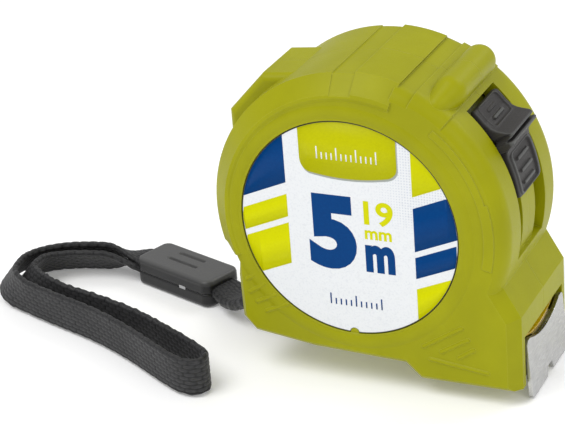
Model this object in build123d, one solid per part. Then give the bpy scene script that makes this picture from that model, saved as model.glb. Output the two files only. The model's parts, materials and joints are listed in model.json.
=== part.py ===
from build123d import *
import math
import os

os.makedirs("parts", exist_ok=True)

# Pocket tape measure with a round two-part case, a thumb lock, a 19 mm blade and a wrist strap.
# Working frame: the spool's axis runs along Y through the origin, +X to the blade's mouth, +Z up.
# Everything is moved by one offset when it is written, so that the origin is at the base's centre.
# All lengths are in millimetres and all angles in degrees, measured from +X towards +Z.

# ---- Case: overall sizes -------------------------------------------------------------------
shell_r = 28.6          # round part of the case
side_wall = 2.5         # between the chamber and a side face
bevel = 2.7             # of the rim towards the side faces
bumper_proud = 0.45     # how far the rear bumper stands out of the side face
bumper_step_r = 24.1    # foot of the bumper's step
seam = 0.06             # hairline between the two halves
front_x = 30.3          # front face, around the mouth
foot_z = -29.7          # underside of the front foot
belly_z = -26.9         # underside behind the foot
foot_back_x = 11.2      # rear edge of the foot
rear_x = -24.3          # rear face of the lower corner

# ---- Case: inside --------------------------------------------------------------------------
chamber_r = 25.7        # main chamber
spool_side_gap = 1.3    # from a flange to the chamber's side
spool_rim_gap = 1.2     # from a flange's edge to the chamber beside the strap pocket
pocket_wall = 1.6       # between the chamber and the strap pocket
pocket_side_gap = 1.4   # from the strap's edge to the pocket's side

# ---- Label ---------------------------------------------------------------------------------
label_x = -1.3
label_z = -0.8
label_r = 21.0
label_gap = 0.15
label_thick = 0.4
label_sunk = 0.2        # label's face below the case's side face
notch_r = 0.95

# ---- Blade, spool and spring ---------------------------------------------------------------
blade_w = 19.0
blade_thick = 0.3
blade_curve_r = 22.0    # radius of the hollow section
blade_z = -22.9         # underside along the middle
blade_back_x = -7.4
blade_front_x = 29.4
coil_r = 19.8
coil_bore_r = 13.1
flange_lip = 1.6        # flange's edge beyond the wound blade
flange_thick = 1.0
flange_gap = 0.4        # between the blade's edge and a flange
hub_wall = 1.2
post_r = 3.0
post_gap = 0.06         # running clearance of the spool on its post
spring_turns = 7
spring_pitch = 0.9
spring_thick = 0.4
spring_w = 17.0

# ---- End hook ------------------------------------------------------------------------------
hook_side = 1.0         # plate's edge beyond the blade's edge
hook_thick = 0.8
hook_back_x = 29.9      # rear face of the plate, level with the blade's underside
hook_tilt = 4.4         # the plate leans forward towards its tip
hook_drop = 9.9         # from the blade's underside to the tip, along the plate
hook_float = 0.9        # play of the hook on its rivets
rivet_r = 1.1
rivet_head_r = 1.9

# ---- Thumb lock ----------------------------------------------------------------------------
lock_half_w = 6.0
lock_ledge_side = 0.7   # ledge's end beyond the plates' side
lock_side_gap = 1.0     # from the plates to the side of their slot
lock_top_deg = 46.0
lock_low_deg = 9.8
lock_travel_deg = 8.0
slot_top_deg = 47.5
rib_half_w = 3.5
rib_sunk = 0.6          # rib's top below the rim
leg_gap = 0.4           # from a leg to the rib
leg_w = 1.1
guide_plate_out_r = 25.3
guide_plate_in_r = 24.1

# ---- Belt clip, strap bar and strap clamp --------------------------------------------------
clip_w = 15.0
clip_thick = 0.8
clip_gap = 3.4
bar_x = -21.4
bar_z = -19.2
bar_r = 1.1
bar_half_len = 8.0
clamp_len = 21.3
clamp_side = 1.0        # clamp's wall beside the strap
clamp_h = 5.7
strap_w = 7.6
strap_thick = 1.3

# Sizes that follow from the ones above.
flange_r = coil_r + flange_lip
flange_in_y = blade_w / 2 + flange_gap
flange_out_y = flange_in_y + flange_thick
chamber_y = flange_out_y + spool_side_gap
side_y = chamber_y + side_wall      # half of the thickness at the side faces
rim_flat_y = side_y - bevel
low_chamber_r = flange_r + spool_rim_gap
pocket_wall_r = low_chamber_r + pocket_wall
pocket_y = strap_w / 2 + pocket_side_gap
label_face_y = side_y - label_sunk
hook_w = blade_w + 2 * hook_side
lock_ledge_half_w = lock_half_w + lock_ledge_side
slot_half_w = lock_half_w + lock_side_gap
rib_top_r = shell_r - rib_sunk
leg_in_y = rib_half_w + leg_gap
leg_out_y = leg_in_y + leg_w
clamp_w = strap_w + 2 * clamp_side

# Hook tip: the lowest point of the object and the height of the surface that it stands on.
hook_tip_z = blade_z - hook_drop * math.cos(math.radians(hook_tilt))
floor_z = hook_tip_z


def slab(points, y_low, y_high):
    """Closed outline of (x, z) points, carried along Y from y_low to y_high."""
    outline = Polyline([(x, y_low, z) for x, z in points], close=True)
    return extrude(make_face(outline), amount=y_high - y_low, dir=(0, 1, 0))


def spun(points, axis_x=0.0, axis_z=0.0):
    """Closed outline of (radius, y) points, turned about a line along Y."""
    outline = Polyline([(r, y, 0) for r, y in points], close=True)
    return Pos(axis_x, 0, axis_z) * revolve(make_face(outline), Axis.Y, 360)


def rod_y(radius, y_low, y_high, x=0.0, z=0.0):
    """Round bar along Y."""
    face = Pos(x, y_low, z) * Rot(90, 0, 0) * Circle(radius)
    return extrude(face, amount=y_high - y_low, dir=(0, 1, 0))


def polar(radius, angle):
    """Point (x, z) at a radius and an angle."""
    return (radius * math.cos(math.radians(angle)), radius * math.sin(math.radians(angle)))


def sector(low_deg, high_deg, y_low, y_high, near=12.0, reach=60.0):
    """Wedge between two angles, from a small radius outwards, to keep one stretch of a ring."""
    steps = max(1, math.ceil((high_deg - low_deg) / 40.0))
    angles = [low_deg + (high_deg - low_deg) * i / steps for i in range(steps + 1)]
    far_side = [polar(reach, a) for a in angles]
    near_side = [polar(near, a) for a in reversed(angles)]
    return slab(far_side + near_side, y_low, y_high)


def ring_piece(r_in, r_out, low_deg, high_deg, y_low, y_high):
    """Stretch of a flat-sided ring between two radii and two angles."""
    ring = rod_y(r_out, y_low, y_high) - rod_y(r_in, y_low - 1, y_high + 1)
    return ring & sector(low_deg, high_deg, y_low - 1, y_high + 1)


def outside(point, radius):
    """True where a point is further than a radius from the spool's axis."""
    return math.hypot(point.X, point.Z) > radius


def box(x0, x1, y0, y1, z0, z1):
    """Block between two corners."""
    middle = Pos((x0 + x1) / 2, (y0 + y1) / 2, (z0 + z1) / 2)
    return middle * Box(x1 - x0, y1 - y0, z1 - z0)


# ---- Half of the case ----------------------------------------------------------------------
bumper_y = side_y + bumper_proud
core_r = 20.0


def rim_stretch(radius, low_deg, high_deg):
    """Stretch of the rim with the raised bumper: a straight bevel outside, a sloped step inside."""
    section = [
        (core_r, 0),
        (radius, 0),
        (radius, rim_flat_y),
        (radius - bevel - bumper_proud, bumper_y),
        (bumper_step_r + 0.8, bumper_y),
        (bumper_step_r, side_y),
        (core_r, side_y),
    ]
    return spun(section) & sector(low_deg, high_deg, -1, bumper_y + 1)


def front_stretch(radius, low_deg, high_deg):
    """Stretch of the case's rim whose edge rolls over in an arc."""
    roll_start = (radius, side_y - 3.5, 0)
    roll_end = (radius - 2.1, side_y, 0)
    edge = Line((core_r, 0, 0), (radius, 0, 0)) + Line((radius, 0, 0), roll_start)
    edge += ThreePointArc(roll_start, (radius - 0.65, side_y - 1.2, 0), roll_end)
    edge += Line(roll_end, (core_r, side_y, 0)) + Line((core_r, side_y, 0), (core_r, 0, 0))
    return revolve(make_face(edge), Axis.Y, 360) & sector(low_deg, high_deg, -1, side_y + 2)


bumper_end_deg = 197.0
panel_low_deg = 71.5
ridge_step_deg = 65.0
panel_high_deg = 88.0
band_high_deg = 97.0

round_body = rod_y(shell_r - bevel - 0.5, 0, side_y)
round_body += rim_stretch(shell_r - 0.15, panel_high_deg - 1, band_high_deg + 1)
round_body += rim_stretch(shell_r + 0.05, band_high_deg, bumper_end_deg + 3)
round_body += rim_stretch(shell_r + 0.35, panel_low_deg, panel_high_deg)
round_body += front_stretch(shell_r - 0.1, ridge_step_deg - 1, panel_low_deg + 1)
round_body += front_stretch(shell_r + 0.45, 50.0, ridge_step_deg)
round_body += front_stretch(shell_r + 0.2, -25.0, 51.0)

# Straight-sided lower part: nose, front foot, belly and rear corner.
rear_corner = [(-9.8, belly_z + 0.7), (-21.7, -24.6), (rear_x + 0.2, -21.9), (rear_x, -13.3), (-23.5, -9.8)]
below = [(-50, -7.3), (-26.6, -7.3)] + rear_corner[::-1] + [(8.3, belly_z), (50, belly_z), (50, -60), (-50, -60)]
round_body -= slab(below, -1, side_y + 3)

nose_top = (27.0, -9.6)
nose_low = (front_x, -15.2)
foot = [
    nose_top,
    nose_low,
    (front_x, foot_z),
    (foot_back_x, foot_z),
    (foot_back_x - 2.9, belly_z),
]
block = slab([(14.0, -3.0)] + foot + rear_corner + [(-14.0, -6.0)], 0, side_y)


def side_edges(shape, spots):
    """Edges of the outer side face whose middles are nearest to the given (x, z) spots."""
    face_edges = shape.faces().sort_by(Axis.Y)[-1].edges()
    return [face_edges.sort_by_distance((x, side_y, z))[0] for x, z in spots]


def between(a, b):
    """Middle of two (x, z) points."""
    return ((a[0] + b[0]) / 2, (a[1] + b[1]) / 2)


front_edges = side_edges(block, [between(foot[0], foot[1]), between(foot[1], foot[2])])
block = chamfer(front_edges, 2.2)
low_spots = [between(foot[2], foot[3]), between(foot[3], foot[4]), between(foot[4], rear_corner[0])]
low_spots += [between(rear_corner[i], rear_corner[i + 1]) for i in range(3)]
block = chamfer(side_edges(block, low_spots), 0.9)
half = round_body + block

# Finger ridge across the top: a round bar that narrows and sinks into the rim at its ends.
ridge_x, ridge_z = polar(shell_r + 1.5, 56.0)
ridge_r = 3.0
ridge_straight_y = rim_flat_y - 4.6
ridge_end_x, ridge_end_z = polar(shell_r - 0.5, 56.6)
ridge_end_r = 2.1
ridge_end_y = rim_flat_y - 1.0


def tapered_bar(start, end, start_r, end_r):
    """Two balls and the cone that touches both."""
    axis = end - start
    rise = (start_r - end_r) / axis.length
    ahead = axis.normalized()
    slope = math.sqrt(1 - rise**2)
    low = start + ahead * (start_r * rise)
    high = end + ahead * (end_r * rise)
    cone = Cone(start_r * slope, end_r * slope, (high - low).length)
    bar = Plane(origin=(low + high) * 0.5, z_dir=ahead) * cone
    return bar + Pos(*start) * Sphere(start_r) + Pos(*end) * Sphere(end_r)


half += rod_y(ridge_r, 0, ridge_straight_y, ridge_x, ridge_z)
half += tapered_bar(
    Vector(ridge_x, ridge_straight_y, ridge_z), Vector(ridge_end_x, ridge_end_y, ridge_end_z), ridge_r, ridge_end_r
)

# Hump over the rear, on the middle of the case only.
hump_half_w = 7.6
hump_outline = [(-26.8, 11.0), (-26.8, 17.0), (-19.7, 24.7), (-13.6, 25.3), (-9.0, 20.0), (-18.0, 8.0)]
hump = slab(hump_outline, -hump_half_w, hump_half_w)
hump_flanks = [e for e in hump.edges() if abs(e.center().Y) > hump_half_w - 0.01 and outside(e.center(), 25.5)]
hump = fillet(hump_flanks, 1.4)
half += hump & box(-40, 0, 0, hump_half_w + 1, 0, 40)

# Gently domed ring round the label, and the recess that the label lies in.
recess_r = label_r + label_gap
recess_y = label_face_y - label_thick
dome_out_r = recess_r + 3.1
dome_low_y = side_y - 1.2
dome_in = (recess_r - 1, label_face_y - 0.1, 0)
dome = Line((recess_r - 1, dome_low_y, 0), dome_in) + Line(dome_in, (recess_r, label_face_y, 0))
dome += ThreePointArc((recess_r, label_face_y, 0), (recess_r + 1.4, side_y + 0.22, 0), (dome_out_r, side_y - 0.1, 0))
dome += Line((dome_out_r, side_y - 0.1, 0), (dome_out_r, dome_low_y, 0))
dome += Line((dome_out_r, dome_low_y, 0), (recess_r - 1, dome_low_y, 0))
half += Pos(label_x, 0, label_z) * revolve(make_face(dome), Axis.Y, 360)
half -= rod_y(recess_r, recess_y, side_y + 2, label_x, label_z)
half += rod_y(notch_r - label_gap, recess_y - 0.5, label_face_y, label_x, label_z - label_r) & rod_y(
    recess_r + 1, 10, label_face_y, label_x, label_z
)

# Raised ribs on the side of the foot and of the rear corner: (x, z) of both ends.
side_ribs = [
    ((12.2, -22.6), (19.7, -17.8)),
    ((15.6, -23.2), (20.9, -20.0)),
    ((19.0, -23.9), (21.9, -21.9)),
    ((13.4, -25.0), (24.4, -26.3)),
    ((-22.4, -13.6), (-20.8, -12.6)),
    ((-22.0, -16.2), (-18.9, -14.3)),
    ((-20.7, -18.1), (-16.9, -16.2)),
    ((-18.9, -19.8), (-14.6, -17.9)),
]
rib_r = 0.42
for start, end in side_ribs:
    run = Line((start[0], side_y - 0.12, start[1]), (end[0], side_y - 0.12, end[1]))
    half += sweep(Plane(origin=run @ 0, z_dir=run % 0) * Circle(rib_r), run)
    half += Pos(*(run @ 0)) * Sphere(rib_r)
    half += Pos(*(run @ 1)) * Sphere(rib_r)

# Long raised arc in front of the label, wider in its lower half.
half += ring_piece(24.5, 25.9, 15.0, 52.0, side_y - 1, side_y + 0.16)
half += ring_piece(24.5, 26.4, -12.5, 16.0, side_y - 1, side_y + 0.16)

# Chamber for the spool, channel for the blade, and room in the nose for the lock's brake.
rear_low = slab([(0, 0), (-60, -22.0), (-60, -60), (-9, -60)], -1, chamber_y + 1)
chamber = rod_y(chamber_r, -1, chamber_y) - rear_low
chamber += rod_y(low_chamber_r, -1, chamber_y)
channel_y = blade_w / 2 + 0.5
channel_low_z = blade_z - 1.5
channel_top_z = blade_z + 3.2
nose_room = [(8, -13), (23.5, -13), (27.4, -16.8), (27.4, channel_low_z), (8, channel_low_z)]
chamber += slab(nose_room, -1, channel_y)
chamber += box(blade_back_x - 0.5, 27.5, -1, channel_y, channel_low_z, channel_top_z)
half -= chamber

# Hollow in the foot, opened towards the middle.
half -= box(13.5, 27.4, -1, chamber_y - 0.2, foot_z + 1.7, channel_low_z - 0.6)

# Mouth, the shallow recess that the end hook sits in, and the seat of the hook's rubber pad.
mouth_top_z = blade_z + 3.0
mouth_y = blade_w / 2 + 0.6
hook_room_y = hook_w / 2 + 0.5
recess_x = hook_back_x - 0.7
half -= box(25, front_x + 1, -1, mouth_y, channel_low_z, mouth_top_z)
half -= box(recess_x, front_x + 1, -1, hook_room_y, foot_z - 9, mouth_top_z)
pad_half_w = 7.0
pad_low_z = foot_z + 1.2
pad_high_z = channel_low_z - 0.9
half -= box(recess_x - 0.7, recess_x + 0.1, -1, pad_half_w + 0.05, pad_low_z - 0.05, pad_high_z + 0.05)

# Slot for the thumb lock: a wide opening, then two narrow ones beside a rounded rib.
wide_low_deg = 8.6
narrow_low_deg = -5.0
recess_low_deg = -13.5
half -= ring_piece(chamber_r - 2, 40, wide_low_deg, slot_top_deg, -1, slot_half_w)
half -= ring_piece(chamber_r - 2, 40, narrow_low_deg, wide_low_deg + 1, rib_half_w, slot_half_w)
half -= ring_piece(26.9, 40, recess_low_deg, narrow_low_deg + 1, rib_half_w, slot_half_w)
half -= ring_piece(rib_top_r, 40, recess_low_deg, wide_low_deg + 1, -1, rib_half_w + 0.1)

# Pocket for the wrist strap, open to the rear and below, with holes for its bar.
pocket = slab([(0, 0), (-60, -31.0), (-60, -60), (-36, -60)], -1, pocket_y) - rod_y(pocket_wall_r, -2, pocket_y + 1)
half -= pocket
bar_hole_r = bar_r + 0.03
half -= rod_y(bar_hole_r, -1, bar_half_len + 0.1, bar_x, bar_z)

# Bosses for the case screws. Their holes are cut in each half below.
screw_r = 1.1
screw_hole_r = screw_r + 0.05
head_r = 2.1
head_hole_r = head_r + 0.15
head_h = 1.3
boss_r = 1.9
screw_spots = [polar(24.3, 76.0), polar(24.3, 152.0), (-10.0, -24.2), (20.5, -26.4)]
for x, z in screw_spots:
    boss = rod_y(boss_r, 0, chamber_y + 0.5, x, z)
    half += boss & rod_y(shell_r - 1, -1, 20) if math.hypot(x, z) < 25 else boss

half &= box(-60, 60, seam / 2, 40, -60, 60)
far_shell = half
near_shell = mirror(half, Plane.XZ)

screw_reach_y = side_y - 3.4

# Far half: clearance holes, counterbores and the middle hole for the clip's screw.
post_screw_r = 1.5
post_seat_r = post_r + 0.05
for x, z in screw_spots:
    far_shell -= rod_y(screw_hole_r, -1, 40, x, z)
    far_shell -= rod_y(head_hole_r, side_y - head_h - 0.25, 40, x, z)
    near_shell -= rod_y(screw_hole_r, -screw_reach_y - 0.2, 1, x, z)
far_shell -= rod_y(post_seat_r, 5, chamber_y + 0.9)
far_shell -= rod_y(post_screw_r + 0.1, 5, 40)
near_shell -= rod_y(post_seat_r, -chamber_y - 0.9, -5)

case_screws = []
for x, z in screw_spots:
    head_y = side_y - head_h - 0.25
    screw = rod_y(screw_r, -screw_reach_y, head_y + 0.01, x, z) + rod_y(head_r, head_y, head_y + head_h, x, z)
    screw = chamfer(screw.edges().filter_by(GeomType.CIRCLE).sort_by(Axis.Y)[-1], 0.4)
    cross = box(x - 1.3, x + 1.3, head_y + 0.5, 40, z - 0.3, z + 0.3)
    cross += box(x - 0.3, x + 0.3, head_y + 0.5, 40, z - 1.3, z + 1.3)
    case_screws.append(screw - cross)

# ---- Labels --------------------------------------------------------------------------------
label_disc = rod_y(label_r, recess_y, label_face_y, label_x, label_z)
label_disc -= rod_y(notch_r, recess_y - 1, label_face_y + 1, label_x, label_z - label_r)
near_label = mirror(label_disc, Plane.XZ)
clip_top_z = 7.0
clip_bend_z = -6.0
far_label = label_disc - box(-clip_w / 2 - 0.4, clip_w / 2 + 0.4, 10, 20, clip_bend_z - 2.4, clip_top_z + 0.4)

# ---- Spool, spring, coil and centre post -----------------------------------------------------
hub_r = coil_bore_r - 0.1
spool = rod_y(hub_r, -flange_in_y, flange_in_y) - rod_y(hub_r - hub_wall, -flange_in_y - 1, flange_in_y + 1)
spool += rod_y(flange_r, -flange_out_y, -flange_in_y)
spool -= rod_y(post_r + post_gap, -flange_out_y - 1, -flange_in_y + 1)
spool_cover = rod_y(flange_r, flange_in_y, flange_out_y)
spool_cover -= rod_y(post_r + post_gap, flange_in_y - 1, flange_out_y + 1)
for angle in range(0, 360, 60):
    x, z = polar(16.0, angle)
    spool_cover -= rod_y(2.6, flange_in_y - 1, flange_out_y + 1, x, z)
    spool -= rod_y(2.6, -flange_out_y - 1, -flange_in_y + 1, x, z)

blade_coil = rod_y(coil_r, -blade_w / 2, blade_w / 2) - rod_y(coil_bore_r, -blade_w, blade_w)

# The power spring is a spiral of half circles, each half a pitch larger than the last.
spring_in_r = post_r + 1.2


def spiral(offset):
    """Half circles of growing radius whose centres take turns, drawn at one side of the strip."""
    curve = []
    for i in range(2 * spring_turns):
        radius = spring_in_r + spring_pitch * i / 2 + offset
        centre_x = -spring_pitch / 2 if i % 2 else 0
        curve.append(CenterArc((centre_x, 0), radius, 0 if i % 2 else 180, -180))
    return curve


outer_line = spiral(spring_thick / 2)
inner_line = spiral(-spring_thick / 2)
strip_ends = [Line(outer_line[0] @ 0, inner_line[0] @ 0), Line(outer_line[-1] @ 1, inner_line[-1] @ 1)]
power_spring = Rot(90, 0, 0) * extrude(make_face(outer_line + inner_line + strip_ends), spring_w / 2, both=True)

post_end_y = chamber_y + 0.85
centre_post = rod_y(post_r, -post_end_y, post_end_y)
centre_post -= rod_y(post_screw_r - 0.1, 4.0, post_end_y + 1)
centre_post -= box(-0.4, 0.4, -8.5, 3.5, -5, 5)

# ---- Blade, hook and rivets ------------------------------------------------------------------
blade_top_r = blade_curve_r - blade_thick
half_w = blade_w / 2
under_edge = blade_curve_r - math.sqrt(blade_curve_r**2 - half_w**2)
upper_edge = blade_curve_r - math.sqrt(blade_top_r**2 - half_w**2)
section = ThreePointArc(
    (blade_back_x, -half_w, blade_z + under_edge),
    (blade_back_x, 0, blade_z),
    (blade_back_x, half_w, blade_z + under_edge),
)
section += Line((blade_back_x, half_w, blade_z + under_edge), (blade_back_x, half_w, blade_z + upper_edge))
section += ThreePointArc(
    (blade_back_x, half_w, blade_z + upper_edge),
    (blade_back_x, 0, blade_z + blade_thick),
    (blade_back_x, -half_w, blade_z + upper_edge),
)
section += Line((blade_back_x, -half_w, blade_z + upper_edge), (blade_back_x, -half_w, blade_z + under_edge))
blade_tongue = extrude(make_face(section), amount=blade_front_x - blade_back_x, dir=(1, 0, 0))

# The plate's own frame: w runs up along the plate, n points forward out of it.
lean = math.radians(hook_tilt)


def on_plate(n, y, w):
    """Point at n in front of the plate's rear face and w above the blade's underside."""
    x = hook_back_x + n * math.cos(lean) - w * math.sin(lean)
    return (x, y, blade_z + w * math.cos(lean) + n * math.sin(lean))


hook_top_w = 1.7
half_hook = hook_w / 2
notch_top_w = 1.9 - hook_drop
corner_cut = 0.6
curve_end_y = half_w - 0.9
hook_left = [
    (-curve_end_y, hook_top_w),
    (-half_hook + corner_cut, hook_top_w),
    (-half_hook, hook_top_w - corner_cut),
    (-half_hook, corner_cut - hook_drop),
    (-half_hook + corner_cut, -hook_drop),
    (-1.9, -hook_drop),
    (-1.1, notch_top_w),
]
hook_right = [(-y, w) for y, w in reversed(hook_left)]
plate_edges = Polyline([on_plate(0, y, w) for y, w in hook_left + hook_right])
top_low_w = -0.1
plate_edges += ThreePointArc(
    on_plate(0, curve_end_y, hook_top_w), on_plate(0, 0, top_low_w), on_plate(0, -curve_end_y, hook_top_w)
)
forward = Vector(math.cos(lean), 0, math.sin(lean))
end_hook = extrude(make_face(plate_edges), amount=hook_thick, dir=forward)

# The hook's tongue lies under the blade and is held by two rivets in short slots.
tongue_len = 11.0
tongue_gap = 0.06
tongue_top_z = blade_z - tongue_gap
tongue_half_w = 5.0
tongue_drop = blade_curve_r - math.sqrt(blade_curve_r**2 - tongue_half_w**2)
tongue_x = hook_back_x - tongue_len
under = ThreePointArc(
    (tongue_x, -tongue_half_w, tongue_top_z + tongue_drop),
    (tongue_x, 0, tongue_top_z),
    (tongue_x, tongue_half_w, tongue_top_z + tongue_drop),
)
low_z = tongue_top_z - 0.6
under += Line((tongue_x, tongue_half_w, tongue_top_z + tongue_drop), (tongue_x, tongue_half_w, low_z + 0.5))
under += ThreePointArc(
    (tongue_x, tongue_half_w, low_z + 0.5), (tongue_x, 0, low_z), (tongue_x, -tongue_half_w, low_z + 0.5)
)
under += Line((tongue_x, -tongue_half_w, low_z + 0.5), (tongue_x, -tongue_half_w, tongue_top_z + tongue_drop))
end_hook += extrude(make_face(under), amount=tongue_len + 0.4, dir=(1, 0, 0))
rivet_spots = [hook_back_x - 3.6, hook_back_x - 8.2]
rivets = []
for x in rivet_spots:
    slot_cut = box(x - rivet_r - 0.05 - hook_float, x + rivet_r + 0.05, -rivet_r - 0.05, rivet_r + 0.05, -40, 0)
    end_hook -= slot_cut
    blade_tongue -= Pos(x, 0, blade_z) * Cylinder(rivet_r, 4)
    low = low_z - 0.06
    shank = Pos(x, 0, (low + blade_z + 0.9) / 2) * Cylinder(rivet_r, blade_z + 0.9 - low)
    foot_disc = Pos(x, 0, low - 0.2) * Cylinder(rivet_head_r, 0.4)
    head_disc = Pos(x, 0, blade_z + 0.7) * Cylinder(rivet_head_r, 0.5)
    rivets.append(chamfer((shank + foot_disc + head_disc).edges().sort_by(Axis.Z)[-1], 0.2))

# ---- Thumb lock --------------------------------------------------------------------------------
# Outline of the grip, as (angle, height above the rim), from its top end over the ledge to its low end.
grip_line = [
    (lock_top_deg, 0.3),
    (44.5, 0.6),
    (40.0, 0.5),
    (37.3, 0.7),
    (35.0, 1.4),
    (33.0, 2.4),
    (32.4, 3.1),
    (31.6, 3.2),
    (31.0, 2.6),
    (30.5, 2.6),
    (29.9, 3.3),
    (29.2, 3.2),
    (28.0, 1.8),
    (25.5, 0.7),
    (17.0, 0.5),
    (lock_low_deg, 0.3),
]
grip_in_r = rib_top_r + 0.2
grip_points = [polar(shell_r + h, a) for a, h in grip_line]
inner_arc = [polar(grip_in_r, lock_low_deg + (lock_top_deg - lock_low_deg) * i / 12) for i in range(13)]
grip = slab(grip_points + inner_arc, -lock_half_w, lock_half_w)
ledge_points = [polar(shell_r + h, a) for a, h in grip_line[4:12]]
ledge_points += [polar(shell_r + 0.9, 28.7), polar(shell_r + 0.8, 34.6)]
grip += slab(ledge_points, -lock_ledge_half_w, lock_ledge_half_w)
thumb_lock = grip
for side in (-1, 1):
    low_y, high_y = sorted((side * leg_in_y, side * leg_out_y))
    thumb_lock += ring_piece(guide_plate_out_r - 0.2, grip_in_r + 0.3, lock_low_deg + 1, lock_top_deg - 0.6, low_y, high_y)

guide_half_w = slot_half_w + 1.6
guide_plate = ring_piece(
    guide_plate_in_r, guide_plate_out_r - 0.2, lock_low_deg - 4, lock_top_deg + 5, -guide_half_w, guide_half_w
)
brake_tail = ring_piece(guide_plate_in_r, guide_plate_out_r - 0.2, -36.0, lock_low_deg - 4, -4.5, 4.5)
shoe_tip_z = blade_z + blade_thick + 0.45
shoe_tip_r = 28.0
shoe_tip_deg = math.degrees(math.asin(shoe_tip_z / shoe_tip_r)) + lock_travel_deg
shoe_outline = [polar(24.1, -35.0), polar(25.1, -33.5), polar(27.4, -41.0)]
shoe_outline += [polar(shoe_tip_r, shoe_tip_deg), polar(26.4, shoe_tip_deg - 1.0), polar(24.1, -40.0)]
brake_shoe = slab(shoe_outline, -3.0, 3.0)
brake_shoe -= ring_piece(guide_plate_in_r - 1, guide_plate_out_r - 0.2, -36.0, 0, -5, 5)

# ---- Belt clip and its screw ---------------------------------------------------------------------
clip_mid_y = recess_y + clip_thick / 2
clip_out_y = side_y + clip_gap + clip_thick / 2
clip_waist = 1.5        # how far the arm bends in above its flared tip
clip_flare = 0.6        # how far the tip then stands out of the arm
clip_flare_h = 3.0
clip_low_z = -27.0
clip_line = [
    (clip_mid_y, clip_top_z),
    (clip_mid_y, clip_bend_z),
    (clip_out_y, -9.5),
    (clip_out_y, -20.0),
    (clip_out_y - clip_waist, clip_low_z + clip_flare_h),
    (clip_out_y + clip_flare, clip_low_z),
]
clip_path = FilletPolyline(*[(0, y, z) for y, z in clip_line], radius=1.0)
clip_start = Plane(origin=clip_path @ 0, x_dir=(1, 0, 0), z_dir=clip_path % 0)
belt_clip = sweep(clip_start * Rectangle(clip_w, clip_thick), clip_path)
belt_clip = fillet(belt_clip.edges().filter_by(Axis.Y).sort_by(Axis.Z)[-2:], 2.0)
belt_clip -= rod_y(post_screw_r + 0.1, 10, 20)
clip_face_y = recess_y + clip_thick
clip_screw = rod_y(post_screw_r - 0.15, 5.0, clip_face_y + 0.1) + rod_y(3.2, clip_face_y, clip_face_y + 1.5)
clip_screw = fillet(clip_screw.edges().filter_by(GeomType.CIRCLE).sort_by(Axis.Y)[-1], 0.6)
clip_screw -= box(-2.0, 2.0, clip_face_y + 0.7, 20, -0.35, 0.35) + box(-0.35, 0.35, clip_face_y + 0.7, 20, -2.0, 2.0)

# ---- Rubber pad behind the hook ------------------------------------------------------------------
hook_pad = box(recess_x - 0.7, recess_x + 0.15, -pad_half_w, pad_half_w, pad_low_z, pad_high_z)

# ---- Strap bar, strap clamp and wrist strap ------------------------------------------------------
strap_bar = rod_y(bar_r, -bar_half_len, bar_half_len, bar_x, bar_z)

clamp_x = -49.95
clamp_y = 12.67
clamp_turn = -19.4      # the clamp's own turn about the vertical
clamp_place = Pos(clamp_x, clamp_y, floor_z + clamp_h / 2) * Rot(0, 0, clamp_turn)
half_len = clamp_len / 2
half_wid = clamp_w / 2
clamp_outline = [
    (-half_len, -half_wid),
    (half_len - 2.2, -half_wid),
    (half_len, -half_wid + 1.6),
    (half_len, half_wid - 1.6),
    (half_len - 2.2, half_wid),
    (-half_len + 2.2, half_wid),
    (-half_len, half_wid - 1.6),
]
clamp_body = extrude(make_face(Polyline([(x, y, 0) for x, y in clamp_outline], close=True)), clamp_h / 2, both=True)
channel_half_h = strap_thick + 0.05
clamp_body = chamfer(clamp_body.faces().sort_by(Axis.Z)[-1].edges(), 0.6)
clamp_body -= Box(clamp_len + 2, strap_w + 0.2, 2 * channel_half_h)
clamp_body -= Pos(-0.5, -0.75, clamp_h / 2) * Box(8.4, 0.8, 0.8)
clamp_body -= Pos(-0.5, 2.1, clamp_h / 2) * Box(7.3, 0.8, 0.8)
peg_r = 0.9
peg_depth = 0.5
clamp_pegs = []
for side in (-1, 1):
    peg = Pos(3.2, side * (half_wid - peg_depth / 2), 0) * Rot(90, 0, 0) * Cylinder(peg_r, peg_depth)
    clamp_body -= peg
    clamp_pegs.append(clamp_place * peg)
clamp_top = clamp_place * (clamp_body & Pos(0, 0, clamp_h / 2 + 0.02) * Box(40, 40, clamp_h))
clamp_base = clamp_place * (clamp_body & Pos(0, 0, -clamp_h / 2 - 0.02) * Box(40, 40, clamp_h))

# Middle line of the wrist strap's loop, seen from above: out along the outer layer, round the
# fold at the near end, and back along the inner layer.
loop_z = floor_z + strap_w / 2
loop_route = [
    (-60.05, 17.05),
    (-64.4, 16.9),
    (-71.3, 15.4),
    (-78.2, 13.4),
    (-83.6, 9.6),
    (-85.9, 3.7),
    (-83.4, -3.3),
    (-76.9, -7.3),
    (-67.9, -10.5),
    (-56.9, -14.1),
    (-46.9, -18.9),
    (-37.9, -24.3),
    (-31.4, -27.8),
    (-27.7, -27.3),
    (-27.2, -23.8),
    (-31.9, -20.8),
    (-38.4, -17.3),
    (-47.9, -12.5),
    (-57.9, -9.1),
    (-67.9, -6.7),
    (-75.9, -4.3),
    (-81.2, -0.3),
    (-82.0, 3.9),
    (-80.2, 7.6),
    (-76.2, 10.4),
    (-70.2, 12.3),
    (-64.6, 14.6),
    (-60.8, 15.45),
]


def rounded_route(points):
    """Straight runs joined by tangent arcs, each as large as its two shorter halves allow."""
    vectors = [Vector(*p) for p in points]
    radii = []
    for before, corner, after in zip(vectors, vectors[1:], vectors[2:]):
        turn = math.radians((corner - before).get_angle(after - corner))
        shorter = min((corner - before).length, (after - corner).length)
        radii.append(0.45 * shorter / math.tan(turn / 2))
    print("radii", [round(r, 1) for r in radii])
    return FilletPolyline(*vectors, radius=radii)


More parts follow.
